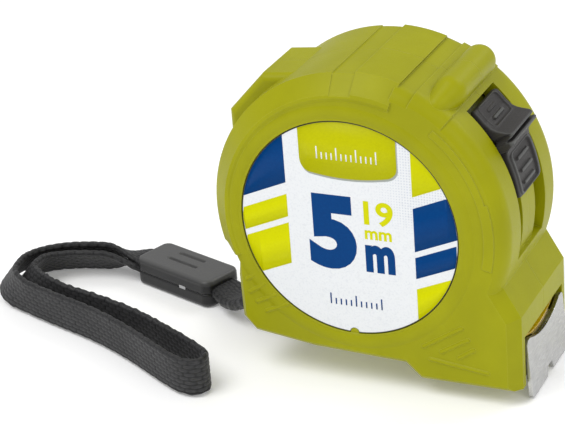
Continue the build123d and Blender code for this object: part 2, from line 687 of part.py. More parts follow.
def webbing(path, width, thickness, width_dir):
    """Flat strap carried along a path."""
    start = Plane(origin=path @ 0, x_dir=width_dir, z_dir=path % 0)
    strap = sweep(start * Rectangle(width, thickness), path)
    print("strap", round(path.length, 1), round(strap.volume / (width * thickness * path.length), 3))
    return strap


loop_path = rounded_route([(x, y, loop_z) for x, y in loop_route])
wrist_strap = webbing(loop_path, strap_w, strap_thick, (0, 0, 1))

# The strap's tail: both layers through the clamp and up to the bar, where they make an eye.
clamp_dir = Vector(math.cos(math.radians(clamp_turn)), math.sin(math.radians(clamp_turn)), 0)
clamp_mid = Vector(clamp_x, clamp_y, floor_z + clamp_h / 2)
tail_start = clamp_mid - clamp_dir * (half_len - 0.02)
tail_route = [tuple(tail_start), tuple(clamp_mid + clamp_dir * (half_len + 0.8))]
tail_route += [(-35.6, 5.4, -30.2), (-31.8, 2.4, -28.0), (-28.2, 0.6, -24.9), (-23.3, 0, -20.8)]
tail_path = rounded_route(tail_route)
tail_width_dir = Vector(-clamp_dir.Y, clamp_dir.X, 0)
strap_tail = webbing(tail_path, strap_w, 2 * strap_thick, tail_width_dir)
eye = rod_y(bar_r + 0.05 + strap_thick, -strap_w / 2, strap_w / 2, bar_x, bar_z)
strap_tail += eye
strap_tail -= rod_y(bar_r + 0.05, -9, 9, bar_x, bar_z)

# ---- Origin: the middle of the base --------------------------------------------------------------
tip_front_x = on_plate(hook_thick, 0, -hook_drop)[0]
mid_x = (tip_front_x - shell_r - 0.05) / 2
flare_angle = math.atan2(clip_waist + clip_flare, clip_flare_h)
clip_tip_y = clip_out_y + clip_flare + clip_thick / 2 * math.cos(flare_angle)
mid_y = (clip_tip_y - bumper_y) / 2
to_base = Pos(-mid_x, -mid_y, -floor_z)

nodes = {
    "near_shell": near_shell,
    "far_shell": far_shell,
    "case_screws": case_screws,
    "near_label": near_label,
    "far_label": far_label,
    "spool": spool,
    "spool_cover": spool_cover,
    "blade_coil": blade_coil,
    "power_spring": power_spring,
    "centre_post": centre_post,
    "blade_tongue": blade_tongue,
    "end_hook": end_hook,
    "hook_rivets": rivets,
    "hook_pad": hook_pad,
    "thumb_lock": thumb_lock,
    "guide_plate": guide_plate,
    "brake_tail": brake_tail,
    "brake_shoe": brake_shoe,
    "belt_clip": belt_clip,
    "clip_screw": clip_screw,
    "strap_bar": strap_bar,
    "clamp_top": clamp_top,
    "clamp_base": clamp_base,
    "clamp_pegs": clamp_pegs,
    "wrist_strap": wrist_strap,
    "strap_tail": strap_tail,
}
for name, shape in nodes.items():
    pieces = shape if isinstance(shape, list) else [shape]
    solids = [to_base * solid for piece in pieces for solid in piece.solids()]
    whole = solids[0] if len(solids) == 1 else Compound(children=solids)
    export_step(whole, f"parts/{name}.step")
print("offset", round(-mid_x, 3), round(-mid_y, 3), round(-floor_z, 3))
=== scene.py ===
import json
import math

import bmesh
import bpy
import numpy as np
from mathutils import Matrix, Vector


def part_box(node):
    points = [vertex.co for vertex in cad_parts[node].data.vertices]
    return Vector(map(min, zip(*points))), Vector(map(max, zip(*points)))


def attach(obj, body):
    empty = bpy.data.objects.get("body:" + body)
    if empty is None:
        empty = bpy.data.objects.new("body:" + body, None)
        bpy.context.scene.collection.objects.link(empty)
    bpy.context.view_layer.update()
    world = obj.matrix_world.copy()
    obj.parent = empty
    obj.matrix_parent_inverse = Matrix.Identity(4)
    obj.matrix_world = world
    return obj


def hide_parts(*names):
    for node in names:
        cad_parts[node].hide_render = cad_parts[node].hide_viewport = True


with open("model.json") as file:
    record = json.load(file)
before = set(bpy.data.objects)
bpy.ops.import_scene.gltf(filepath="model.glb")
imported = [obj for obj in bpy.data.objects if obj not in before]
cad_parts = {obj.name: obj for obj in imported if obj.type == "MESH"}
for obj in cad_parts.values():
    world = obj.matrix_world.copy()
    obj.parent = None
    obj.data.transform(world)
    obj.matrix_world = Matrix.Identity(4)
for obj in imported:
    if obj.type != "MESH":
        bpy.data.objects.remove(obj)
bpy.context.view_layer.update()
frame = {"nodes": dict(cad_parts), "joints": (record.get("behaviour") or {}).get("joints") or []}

MM = 0.001
joint = {j["name"]: j for j in frame["joints"]}
spool_axis = Vector(joint["drum_turn"]["pos_m"])
floor_z = -float(spool_axis.z) / MM


def placed(points):
    """Row-frame points, in metres, of points given in mm from the middle of the spool."""
    return np.asarray(points, float) * MM + np.array(spool_axis)


# ---- Camera ----------------------------------------------------------------------------------
# A long lens, a little above the case and to the front of it, aimed just beside the label's middle
# and tipped slightly about its own axis.
label_low, label_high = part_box("near_label")
label_mid = Vector(((label_low.x + label_high.x) / 2, label_low.y, (label_low.z + label_high.z) / 2))
turn, lift, roll = math.radians(25.98), math.radians(24.99), math.radians(-4.61)
away = Vector((math.sin(turn) * math.cos(lift), -math.cos(turn) * math.cos(lift), math.sin(lift)))
level = Vector((math.cos(turn), math.sin(turn), 0))
upward = away.cross(level)
cam_right = level * math.cos(roll) + upward * math.sin(roll)
cam_up = upward * math.cos(roll) - level * math.sin(roll)
distance = 386.4 * MM
aim_left, aim_up = 11.8 * MM, 3.11 * MM
camera = bpy.data.objects.new("camera", bpy.data.cameras.new("camera"))
bpy.context.scene.collection.objects.link(camera)
camera.data.lens = 136.9
camera.data.sensor_width = 36.0
camera.data.clip_start = 0.02
camera.data.clip_end = 20.0
aim = label_mid - cam_right * aim_left + cam_up * aim_up
place = Matrix((cam_right, cam_up, away)).transposed().to_4x4()
place.translation = aim + away * distance
camera.matrix_world = place
bpy.context.scene.camera = camera

# ---- Case halves -----------------------------------------------------------------------------
# Two shells moulded in green ABS with a satin spark texture. They meet on a hairline in the middle
# and are held by four screws from the far side. Corners are rubbed smooth and are painted a little
# lighter, partly as wear and partly as a painted highlight.
case_green = (0.345, 0.345, 0.001, 1)
case_shade = (0.305, 0.305, 0.001, 1)
case_rubbed_and_lit = (0.50, 0.50, 0.06, 1)


def new_group(name, ins, outs):
    """Empty shader node group with named inputs (name, kind, default) and outputs (name, kind)."""
    group = bpy.data.node_groups.new(name, "ShaderNodeTree")
    for label, kind, default in ins:
        group.interface.new_socket(label, in_out="INPUT", socket_type=kind).default_value = default
    for label, kind in outs:
        group.interface.new_socket(label, in_out="OUTPUT", socket_type=kind)
    return group, group.nodes.new("NodeGroupInput").outputs, group.nodes.new("NodeGroupOutput").inputs


def node(tree, kind, links=None, **values):
    """New node with its properties set, and its inputs set or linked."""
    made = tree.nodes.new(kind)
    for key, value in values.items():
        setattr(made, key, value)
    for key, value in (links or {}).items():
        if isinstance(value, bpy.types.NodeSocket):
            tree.links.new(value, made.inputs[key])
        else:
            made.inputs[key].default_value = value
    return made


def mixed(tree, share, a, b):
    """Colour mix of two colours or sockets by a share."""
    return node(tree, "ShaderNodeMix", {0: share, 6: a, 7: b}, data_type="RGBA").outputs[2]


def ranged(tree, value, low, high, to_low, to_high):
    """Value mapped from one range to another, clamped."""
    links = {"Value": value, "From Min": low, "From Max": high, "To Min": to_low, "To Max": to_high}
    return node(tree, "ShaderNodeMapRange", links).outputs[0]


def noise(tree, vector, scale, detail=2.0):
    """Noise value at a vector times a scale."""
    links = {"Vector": vector, "Scale": scale, "Detail": detail}
    return node(tree, "ShaderNodeTexNoise", links).outputs["Fac"]


def maths(tree, operation, *values):
    """Result of an operation on sockets or plain values."""
    return node(tree, "ShaderNodeMath", dict(enumerate(values)), operation=operation).outputs[0]


def vector_maths(tree, operation, *values):
    """Result of a vector operation on sockets or plain values: a vector, or a value for a measure."""
    outputs = node(tree, "ShaderNodeVectorMath", dict(enumerate(values)), operation=operation).outputs
    return outputs["Value"] if operation in ("LENGTH", "DOT_PRODUCT") else outputs["Vector"]


def bumped(tree, shader, height, depth, strength, normal=None):
    """Bump of a height value, depth in metres, on the face's own normal or on the one given."""
    links = {"Height": height, "Distance": depth, "Strength": strength}
    if normal is not None:
        links["Normal"] = normal
    tree.links.new(node(tree, "ShaderNodeBump", links).outputs[0], shader["Normal"])


# Moulded skin: fine sparks and slow patches, as values from 0 to 1 that change with the place.
skin, skin_in, skin_out = new_group(
    "moulded_skin",
    [("Spark Scale", "NodeSocketFloat", 7000.0), ("Patch Scale", "NodeSocketFloat", 90.0)],
    [("Spark", "NodeSocketFloat"), ("Patch", "NodeSocketFloat"), ("Scuff", "NodeSocketFloat")],
)
skin_place = node(skin, "ShaderNodeTexCoord").outputs["Object"]
skin.links.new(noise(skin, skin_place, skin_in["Spark Scale"], 3.0), skin_out["Spark"])
skin.links.new(noise(skin, skin_place, skin_in["Patch Scale"], 3.0), skin_out["Patch"])
scuff_links = {"Vector": skin_place, "Rotation": (0.3, 0.5, 0.2), "Scale": (900, 5000, 600)}
scuffs = noise(skin, node(skin, "ShaderNodeMapping", scuff_links).outputs[0], 1.0)
skin.links.new(ranged(skin, scuffs, 0.66, 0.76, 0.0, 1.0), skin_out["Scuff"])

# Worn and glinting edges: a normal that is rounded over the edges, and a mask that is 1 where it leaves the
# face.
# The mask paints edges lighter, partly as wear and partly as a painted highlight.
edges, edges_in, edges_out = new_group(
    "worn_and_glinting_edges",
    [("Radius", "NodeSocketFloat", 0.0003), ("Reach", "NodeSocketFloat", 0.12)],
    [("Normal", "NodeSocketVector"), ("Wear And Glint", "NodeSocketFloat")],
)
rounded = node(edges, "ShaderNodeBevel", {"Radius": edges_in["Radius"]}, samples=6).outputs[0]
face_normal = node(edges, "ShaderNodeNewGeometry").outputs["Normal"]
lifted = maths(edges, "SUBTRACT", 1.0, vector_maths(edges, "DOT_PRODUCT", rounded, face_normal))
edges.links.new(rounded, edges_out["Normal"])
edges.links.new(ranged(edges, lifted, 0.01, edges_in["Reach"], 0.0, 1.0), edges_out["Wear And Glint"])


def use(tree, group, **values):
    """A group placed in a material with its own values; spaces in names are written as _."""
    made = node(tree, "ShaderNodeGroup", node_tree=group)
    for key, value in values.items():
        made.inputs[key.replace("_", " ")].default_value = value
    return made.outputs


def finish(name, base, roughness, metallic=0.0, **inputs):
    """New material with its Principled shader's plain values set; spaces in names are written as _."""
    material = bpy.data.materials.new(name)
    material.use_nodes = True
    tree = material.node_tree
    shader = tree.nodes["Principled BSDF"].inputs
    shader["Base Color"].default_value = base
    shader["Roughness"].default_value = roughness
    shader["Metallic"].default_value = metallic
    for key, value in inputs.items():
        shader[key.replace("_", " ")].default_value = value
    return material, tree, shader


def give(material, *names):
    """One material for whole CAD pieces, given by their node names."""
    for name in names:
        slots = frame["nodes"][name].data.materials
        slots.clear()
        slots.append(material)


def moulded(name, base, shade, edge_rubbed_and_lit, gloss, spark_scale, spark_depth, edge=0.0003, wear_and_glint=0.6, **inputs):
    """Moulded plastic: patchy colour, edges painted lighter as wear and as a painted highlight, sparks in the
    height, scuffs in the gloss.
    """
    material, tree, shader = finish(name, base, gloss, **inputs)
    marks = use(tree, skin, Spark_Scale=spark_scale)
    rim = use(tree, edges, Radius=edge)
    patchy = mixed(tree, ranged(tree, marks["Patch"], 0.35, 0.65, 0.0, 1.0), base, shade)
    speckled = mixed(tree, ranged(tree, marks["Spark"], 0.35, 0.7, 0.0, 0.35), patchy, shade)
    share = ranged(tree, rim["Wear And Glint"], 0.0, 1.0, 0.0, wear_and_glint)
    tree.links.new(mixed(tree, share, speckled, edge_rubbed_and_lit), shader["Base Color"])
    rough = ranged(tree, marks["Spark"], 0.3, 0.7, gloss - 0.07, gloss + 0.07)
    scuffed = maths(tree, "ADD", rough, ranged(tree, marks["Scuff"], 0, 1, 0, 0.12))
    tree.links.new(scuffed, shader["Roughness"])
    bumped(tree, shader, marks["Spark"], spark_depth, 0.6, rim["Normal"])
    return material


case_finish = moulded(
    "case_green", case_green, case_shade, case_rubbed_and_lit, 0.42, 5200.0, 0.00003, 0.00022, Specular_IOR_Level=0.16
)
give(case_finish, "near_shell", "far_shell")

# ---- Case screws -----------------------------------------------------------------------------
# Four plated cross-head screws, turned and rolled. They sit in counterbores of the far half, and
# the same finish is used for the clip's screw and for the pegs of the strap's clamp.

# Drawn or turned metal: fine streaks that run the way the metal was worked, and slow patches.
drawn, drawn_in, drawn_out = new_group(
    "drawn_metal",
    [("Stretch", "NodeSocketVector", (1.0, 1.0, 1.0)), ("Streak Scale", "NodeSocketFloat", 6000.0)],
    [("Streak", "NodeSocketFloat"), ("Patch", "NodeSocketFloat")],
)
drawn_place = node(drawn, "ShaderNodeTexCoord").outputs["Object"]
pulled = vector_maths(drawn, "MULTIPLY", drawn_place, drawn_in["Stretch"])
drawn.links.new(noise(drawn, pulled, drawn_in["Streak Scale"], 3.0), drawn_out["Streak"])
drawn.links.new(noise(drawn, drawn_place, 260.0, 3.0), drawn_out["Patch"])


def metal(name, base, shade, gloss, stretch, edge=0.0002, **inputs):
    """Worked steel: streaks in colour, gloss and height, dull patches, and edges painted brighter as wear and
    as a painted highlight.
    """
    material, tree, shader = finish(name, base, gloss, 1.0, **inputs)
    marks = use(tree, drawn, Stretch=stretch)
    rim = use(tree, edges, Radius=edge)
    streaky = mixed(tree, ranged(tree, marks["Streak"], 0.3, 0.7, 0.0, 1.0), base, shade)
    tree.links.new(mixed(tree, ranged(tree, rim["Wear And Glint"], 0, 1, 0, 0.5), streaky, base), shader["Base Color"])
    streak_gloss = ranged(tree, marks["Streak"], 0.3, 0.7, gloss - 0.06, gloss + 0.06)
    patch_gloss = ranged(tree, marks["Patch"], 0.35, 0.7, -0.03, 0.12)
    tree.links.new(maths(tree, "ADD", streak_gloss, patch_gloss), shader["Roughness"])
    bumped(tree, shader, marks["Streak"], 0.00001, 0.5, rim["Normal"])
    return material


screw_finish = metal("screw_steel", (0.50, 0.50, 0.51, 1), (0.36, 0.36, 0.38, 1), 0.34, (1.0, 0.15, 1.0))
give(screw_finish, "case_screws", "clip_screw", "clamp_pegs")

# ---- Centre post and strap bar ---------------------------------------------------------------
# Turned steel pins: the post holds the power spring and is held in both shells, and the bar across
# the rear corner holds the eye of the wrist strap.
pin_finish = metal("post_steel", (0.56, 0.56, 0.57, 1), (0.42, 0.42, 0.43, 1), 0.3, (0.2, 1.0, 0.2))
give(pin_finish, "centre_post", "strap_bar")

# ---- Spool and its cover ---------------------------------------------------------------------
# Black moulded acetal: a hub with one flange, and a second flange pressed on to it. Both are smooth,
# with a finer spark than the case has.
black, black_shade = (0.022, 0.022, 0.023, 1), (0.016, 0.016, 0.017, 1)
spool_finish = moulded("spool_black", black, black_shade, (0.06, 0.06, 0.062, 1), 0.38, 4200.0, 0.00002)
give(spool_finish, "spool", "spool_cover")

# ---- Wound blade -----------------------------------------------------------------------------
# Lacquered steel tape wound on the hub. From the side only the thin turns show, yellow with a
# bright line of steel between them.
turn_pitch = 0.3 * MM
wound_yellow, wound_steel = (0.72, 0.50, 0.01, 1), (0.42, 0.40, 0.34, 1)
coil_finish, coil_tree, coil_shader = finish("blade_yellow_wound", wound_yellow, 0.35)
coil_place = node(coil_tree, "ShaderNodeTexCoord").outputs["Object"]
coil_links = {"Vector": coil_place, "Location": tuple(-spool_axis)}
centred = node(coil_tree, "ShaderNodeMapping", coil_links).outputs[0]
radius = vector_maths(coil_tree, "LENGTH", vector_maths(coil_tree, "MULTIPLY", centred, (1.0, 0.0, 1.0)))
part_turn = maths(coil_tree, "FRACT", maths(coil_tree, "DIVIDE", radius, turn_pitch))
steel_line = ranged(coil_tree, part_turn, 0.55, 0.9, 0.0, 1.0)
coil_tree.links.new(mixed(coil_tree, steel_line, wound_yellow, wound_steel), coil_shader["Base Color"])
coil_tree.links.new(ranged(coil_tree, steel_line, 0, 1, 0.0, 0.8), coil_shader["Metallic"])
bumped(coil_tree, coil_shader, part_turn, 0.00006, 0.7)
give(coil_finish, "blade_coil")

# ---- Power spring ----------------------------------------------------------------------------
# Blued spring-steel strip, coiled inside the hub. Its rolled grain runs along the strip, so it is
# drawn out round the hub's axis.
spring_finish = metal("spring_steel", (0.20, 0.22, 0.27, 1), (0.13, 0.14, 0.18, 1), 0.3, (1.0, 0.1, 1.0))
give(spring_finish, "power_spring")

# ---- Blade's end -----------------------------------------------------------------------------
# The first stretch of the hollow steel blade: yellow lacquer with printed black millimetre marks
# along both edges and a number at each centimetre, measured from the hook.
blade_z = -22.9
blade_curve_r = 22.0
blade_thick = 0.3
blade_top_r = blade_curve_r - blade_thick
blade_mid_z = blade_z + blade_curve_r
blade_half_w = 9.5
ink_lift = 0.012
hook_face_x = 29.9
yellow, yellow_shade, yellow_worn = (0.78, 0.52, 0.008, 1), (0.70, 0.46, 0.006, 1), (0.60, 0.56, 0.42, 1)
lacquer = moulded("blade_yellow", yellow, yellow_shade, yellow_worn, 0.26, 900.0, 0.00001, 0.0001)
give(lacquer, "blade_tongue")
ink_black, ink_shade, ink_worn = (0.012, 0.012, 0.012, 1), (0.02, 0.02, 0.02, 1), (0.05, 0.05, 0.05, 1)
ink = moulded("blade_ink", ink_black, ink_shade, ink_worn, 0.4, 3000.0, 0.000002)


def shown(name, mesh, *materials):
    """Object at the origin for a mesh, in the scene, with its materials."""
    piece = bpy.data.objects.new(name, mesh)
    bpy.context.scene.collection.objects.link(piece)
    for material in materials:
        mesh.materials.append(material)
    return piece


def grid_faces(rows, cols, closed_v=False, first=0):
    """Corner numbers of the faces of a grid of points, row after row."""
    i = np.arange(rows - 1)[:, None]
    j = np.arange(cols if closed_v else cols - 1)[None, :]
    j2 = (j + 1) % cols
    corners = (i * cols + j, (i + 1) * cols + j, (i + 1) * cols + j2, i * cols + j2)
    return np.stack(np.broadcast_arrays(*corners), axis=-1).reshape(-1, 4) + first


def mesh_from(name, points, faces, uv=None, marks=None, smooth=True):
    """Mesh of arrays of points and four-cornered faces, with its UV map and point values."""
    mesh = bpy.data.meshes.new(name)
    mesh.vertices.add(len(points))
    mesh.vertices.foreach_set("co", points.reshape(-1).astype(np.float32))
    mesh.loops.add(faces.size)
    mesh.loops.foreach_set("vertex_index", faces.ravel().astype(np.int32))
    mesh.polygons.add(len(faces))
    mesh.polygons.foreach_set("loop_start", (np.arange(len(faces)) * 4).astype(np.int32))
    mesh.update(calc_edges=True)
    if uv is not None:
        layer = mesh.uv_layers.new(name="UVMap")
        layer.data.foreach_set("uv", uv.reshape(-1, 2)[faces.ravel()].astype(np.float32).ravel())
    for key, values in (marks or {}).items():
        layer = mesh.attributes.new(key, "FLOAT", "POINT")
        layer.data.foreach_set("value", values.ravel().astype(np.float32))
    if smooth:
        mesh.shade_smooth()
    mesh.validate()
    return mesh


def tidy(mesh, close_rows=()):
    """Merges doubled points, closes open ends given as lists of corners, and turns faces outwards."""
    bm = bmesh.new()
    bm.from_mesh(mesh)
    bm.verts.ensure_lookup_table()
    for corners in close_rows:
        bm.faces.new([bm.verts[k] for k in corners])
    bmesh.ops.remove_doubles(bm, verts=bm.verts, dist=1e-7)
    bmesh.ops.recalc_face_normals(bm, faces=bm.faces)
    bm.to_mesh(mesh)
    bm.free()


def blade_height(y):
    """Top of the hollow blade at a place across it: an arc about a line above the blade."""
    return blade_mid_z - np.sqrt(blade_top_r**2 - y**2)


tick_at = np.arange(1, 37)
tick_len = np.where(tick_at % 10 == 0, 8.6, np.where(tick_at % 5 == 0, 3.6, 2.2))
tick_x = hook_face_x - tick_at
tick_half_w = 0.09
tick_edge_gap = 0.05
tick_steps = 9
share = np.linspace(0, 1, tick_steps)
tick_points = []
for side in (-1, 1):
    y = side * (blade_half_w - tick_edge_gap - tick_len[:, None] * share)
    z = blade_height(y) + ink_lift
    for half_tick in (-tick_half_w, tick_half_w):
        x = np.broadcast_to(tick_x[:, None] + half_tick, y.shape)
        tick_points.append(np.stack([x, y, z], axis=-1))
near_ticks = np.stack(tick_points[:2], axis=1)
far_ticks = np.stack(tick_points[2:], axis=1)
tick_grid = np.concatenate([near_ticks, far_ticks]).reshape(-1, 3)
tick_count = 2 * len(tick_at)
tick_faces = np.concatenate([grid_faces(2, tick_steps, first=k * 2 * tick_steps) for k in range(tick_count)])
half_faces = len(tick_faces) // 2
tick_faces[:half_faces] = tick_faces[:half_faces, ::-1]
blade_marks = shown("blade_marks", mesh_from("blade_marks", placed(tick_grid), tick_faces), ink)


def letter_mesh(text, weight):
    """Points (x, y) and the mesh of flat characters of height one, thickened by a weight."""
    font = bpy.data.curves.new("letters", "FONT")
    font.body = text
    font.offset = weight
    font.resolution_u = 6
    mesh = bpy.data.meshes.new_from_object(bpy.data.objects.new("letters", font))
    points = np.zeros(len(mesh.vertices) * 3)
    mesh.vertices.foreach_get("co", points)
    return points.reshape(-1, 3)[:, :2], mesh


def fitted(points, low, high):
    """Points stretched to fill a box between two corners."""
    least, most = points.min(axis=0), points.max(axis=0)
    return np.array(low) + (points - least) / (most - least) * (np.array(high) - np.array(low))


numbers = []
number_half_h = 1.9
number_back = 1.9
for count in (1, 2, 3):
    flat_points, mesh = letter_mesh(str(count), 0.01)
    middle = hook_face_x - 10 * count - number_back
    half = 0.6 if count == 1 else 1.1
    spots = fitted(flat_points, (middle - half, -number_half_h), (middle + half, number_half_h))
    raised = np.c_[spots, blade_height(spots[:, 1]) + ink_lift]
    mesh.vertices.foreach_set("co", placed(raised).astype(np.float32).ravel())
    numbers.append(shown("blade_number_" + str(count), mesh, ink))
for mark in [blade_marks] + numbers:
    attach(mark, "blade")

# ---- End hook and rivets ---------------------------------------------------------------------
# Bright pressed steel plate with a rolled grain across it, a notch in its tip, and a tongue that
# two rivets hold under the blade with a little play. The rivets have the same bright finish.
hook_bright, hook_shade = (0.56, 0.56, 0.55, 1), (0.44, 0.44, 0.44, 1)
hook_finish = metal("hook_steel", hook_bright, hook_shade, 0.27, (1.0, 0.08, 1.0))
give(hook_finish, "end_hook", "hook_rivets")

# ---- Hook pad and brake shoe -----------------------------------------------------------------
# Moulded black rubber: a pad that the hook closes against, and the shoe that stops the blade. It
# is matt, with a coarse spark.
rubber_black, rubber_dust = (0.014, 0.014, 0.014, 1), (0.022, 0.022, 0.021, 1)
rubber = moulded("pad_rubber", rubber_black, rubber_dust, (0.04, 0.04, 0.04, 1), 0.72, 3000.0, 0.00004)
give(rubber, "hook_pad", "brake_shoe")

# ---- Guide plate and brake tail --------------------------------------------------------------
# The inner part of the lock: a curved plate that slides under the case's rim, and its springy tail.
# Its green is darker than the case's, because it lies in the shade of the slot.
inner_green, inner_shade = (0.20, 0.21, 0.004, 1), (0.16, 0.17, 0.003, 1)
inner_finish = moulded("inner_green", inner_green, inner_shade, (0.28, 0.29, 0.02, 1), 0.45, 5000.0, 0.00003)
give(inner_finish, "guide_plate", "brake_tail")

# ---- Thumb lock ------------------------------------------------------------------------------
# Dark moulded grip that slides round the rim. Its upper plate has a framed panel with two ribs and
# sweeps up to a double lip with a slit; the lower plate has a framed panel with three ribs.
lock_half_w = 6.0
ledge_half_w = 6.7
lock_under_r = 28.2
lock_top_deg, lock_low_deg = 46.0, 9.8
grip_mean_r = 29.0
lip_line = [
    (9.8, 28.95), (17.0, 29.15), (25.5, 29.35), (27.2, 29.7), (28.0, 30.3), (28.8, 31.2), (29.3, 31.75),
    (29.9, 31.9), (30.35, 31.75), (30.55, 31.0), (30.8, 30.6), (31.1, 31.0), (31.35, 31.75),
    (31.9, 32.25), (32.6, 32.1), (33.4, 31.45), (34.5, 30.7), (35.7, 30.0), (37.3, 29.45), (40.0, 29.2),
    (44.5, 29.2), (46.0, 28.95),
]
ribs = [(42.1, 2.1, 0.2), (38.9, 2.4, 0.42), (22.4, 2.8, 0.42), (17.8, 2.8, 0.42), (13.4, 2.8, 0.42)]
rib_half_w = 0.32


def ease(x):
    """0 to 1 with a soft start and end."""
    x = np.clip(x, 0, 1)
    return x * x * (3 - 2 * x)


def panel(u, v, low, high, corner, soft):
    """1 inside a box with rounded corners and 0 outside, from the distance to its outline."""
    u_mid, v_mid = (low[0] + high[0]) / 2, (low[1] + high[1]) / 2
    over_u = np.abs(u - u_mid) - (high[0] - low[0]) / 2 + corner
    over_v = np.abs(v - v_mid) - (high[1] - low[1]) / 2 + corner
    outside = np.hypot(np.maximum(over_u, 0), np.maximum(over_v, 0))
    inside = np.minimum(np.maximum(over_u, over_v), 0)
    return ease(0.5 - (outside + inside - corner) / soft)


def arc_mm(degrees):
    """Distance round the grip's face, in mm, for an angle in degrees."""
    return np.radians(degrees) * grip_mean_r


def line_r(degrees):
    """Radius of the grip's face at an angle, before its panels and ribs."""
    angles, radii = np.array(lip_line).T
    return np.interp(degrees, angles, radii)


def grip_surface(degrees, y):
    """Radius of the grip's face: its line over the angle, less sunk panels, plus frames and ribs."""
    arc = arc_mm(degrees)
    upper = panel(arc, y, (arc_mm(36.6), -4.5), (arc_mm(45.0), 4.5), 0.9, 0.3)
    upper_rim = panel(arc, y, (arc_mm(36.2), -4.75), (arc_mm(45.5), 4.75), 1.1, 0.3)
    lower = panel(arc, y, (arc_mm(10.9), -4.5), (arc_mm(25.6), 4.5), 0.9, 0.3)
    lower_rim = panel(arc, y, (arc_mm(10.2), -5.25), (arc_mm(26.0), 5.25), 1.2, 0.35)
    face = line_r(degrees) + 0.16 * upper_rim - 0.34 * upper + 0.22 * lower_rim - 0.42 * lower
    for middle, half_len, height in ribs:
        low = (arc_mm(middle) - rib_half_w, -half_len)
        high = (arc_mm(middle) + rib_half_w, half_len)
        face = face + height * panel(arc, y, low, high, 0.3, 0.22)
    return face


def grip_half_width(degrees):
    """Half of the grip's width: wider on the lower ledge, a little rounded in plan at both ends."""
    ledge = ease((30.9 - degrees) / 0.25) * ease((degrees - 27.6) / 0.8)
    waist = ease((degrees - 31.2) / 0.5) * ease((33.4 - degrees) / 1.2)
    wide = lock_half_w + (ledge_half_w - lock_half_w) * ledge - 0.35 * waist
    end = arc_mm(np.minimum(lock_top_deg - degrees, degrees - lock_low_deg))
    corner = np.clip(1 - end / 0.9, 0, 1)
    return wide - 0.9 * (1 - np.sqrt(1 - corner**2))


edge_r = 0.42
rows, top_cols, wall_cols = 300, 190, 6
degrees = np.linspace(lock_top_deg, lock_low_deg, rows)
half_width = grip_half_width(degrees)
across = np.linspace(-1, 1, top_cols)
y_top = half_width[:, None] * across[None, :]
face_r = grip_surface(degrees[:, None], y_top)
fall = np.clip((np.abs(y_top) - (half_width[:, None] - edge_r)) / edge_r, 0, 1)
end_gap = arc_mm(np.minimum(lock_top_deg - degrees, degrees - lock_low_deg))
end_fall = np.clip(1 - end_gap / edge_r, 0, 1)[:, None]
round_off = 1 - np.sqrt(np.clip(1 - np.minimum(fall**2 + end_fall**2, 1), 0, 1))
top_r = face_r - edge_r * round_off
raised_share = np.clip((face_r - line_r(degrees)[:, None]) / 0.2, 0, 1)
upper_lip = ease((degrees - 31.2) / 0.3) * ease((32.6 - degrees) / 0.5)
lower_lip = ease((degrees - 29.0) / 0.5) * ease((30.5 - degrees) / 0.3)
# Painted highlight mask: the raised frames and ribs, the middle of the rounded edges and the two lips are
# painted lighter.
ridge_highlight = raised_share * (1 - fall) + fall * (1 - fall) * 3.0 + 0.9 * (upper_lip + lower_lip)[:, None]
ridge_highlight = np.clip(ridge_highlight, 0, 1)
down = np.linspace(0, 1, wall_cols + 2)[1:-1]
right_r = top_r[:, -1:] + (lock_under_r - top_r[:, -1:]) * down
left_r = (top_r[:, :1] + (lock_under_r - top_r[:, :1]) * down)[:, ::-1]
under_cols = 24
under_y = np.linspace(1, -1, under_cols)
all_r = np.concatenate([top_r, right_r, np.full((rows, under_cols), lock_under_r), left_r], axis=1)
side_y = np.repeat(half_width[:, None], wall_cols, axis=1)
all_y = np.concatenate([y_top, side_y, half_width[:, None] * under_y, -side_y], axis=1)
ridge_highlight = np.concatenate([ridge_highlight, np.zeros((rows, all_r.shape[1] - top_cols))], axis=1)
turned = np.radians(degrees)[:, None]
grip_points = np.stack([all_r * np.cos(turned), all_y, all_r * np.sin(turned)], axis=-1)
cols = all_r.shape[1]
grip_faces = grid_faces(rows, cols, True)
grip_mesh = mesh_from("thumb_grip", placed(grip_points.reshape(-1, 3)), grip_faces, marks={"ridge_highlight": ridge_highlight})
tidy(grip_mesh, [range(cols), range((rows - 1) * cols, rows * cols)])
grip_mesh.shade_smooth()


leg_steps = 40
leg_ends_deg = (10.8, 45.4)
leg_in_y, leg_out_y = 3.9, 5.0
leg_low_r, leg_top_r = 25.1, 28.4


def leg(side):
    """Ring stretch with a flat-sided section, below the plate: four sides carried over the angles."""
    low_y, high_y = sorted((side * leg_in_y, side * leg_out_y))
    angles = np.radians(np.linspace(*leg_ends_deg, leg_steps))[:, None]
    r = np.array([[leg_low_r, leg_top_r, leg_top_r, leg_low_r]])
    y = np.array([[low_y, low_y, high_y, high_y]])
    points = np.stack(np.broadcast_arrays(r * np.cos(angles), y, r * np.sin(angles)), axis=-1).reshape(-1, 3)
    unhighlighted = np.zeros(len(points))
    faces = grid_faces(leg_steps, 4, True)
    mesh = mesh_from("thumb_leg", placed(points), faces, marks={"ridge_highlight": unhighlighted}, smooth=False)
    tidy(mesh, [range(4), range(len(points) - 4, len(points))])
    return mesh


def lightened(material, mark, low, most, colour):
    """Mixes a lighter colour over a moulded finish by a value of the mesh, from where the value passes low: a
    painted highlight.
    """
    tree = material.node_tree
    base = tree.nodes["Principled BSDF"].inputs["Base Color"]
    plain = base.links[0].from_socket
    value = node(tree, "ShaderNodeAttribute", attribute_name=mark).outputs["Fac"]
    tree.links.new(mixed(tree, ranged(tree, value, low, 1, 0, most), plain, colour), base)


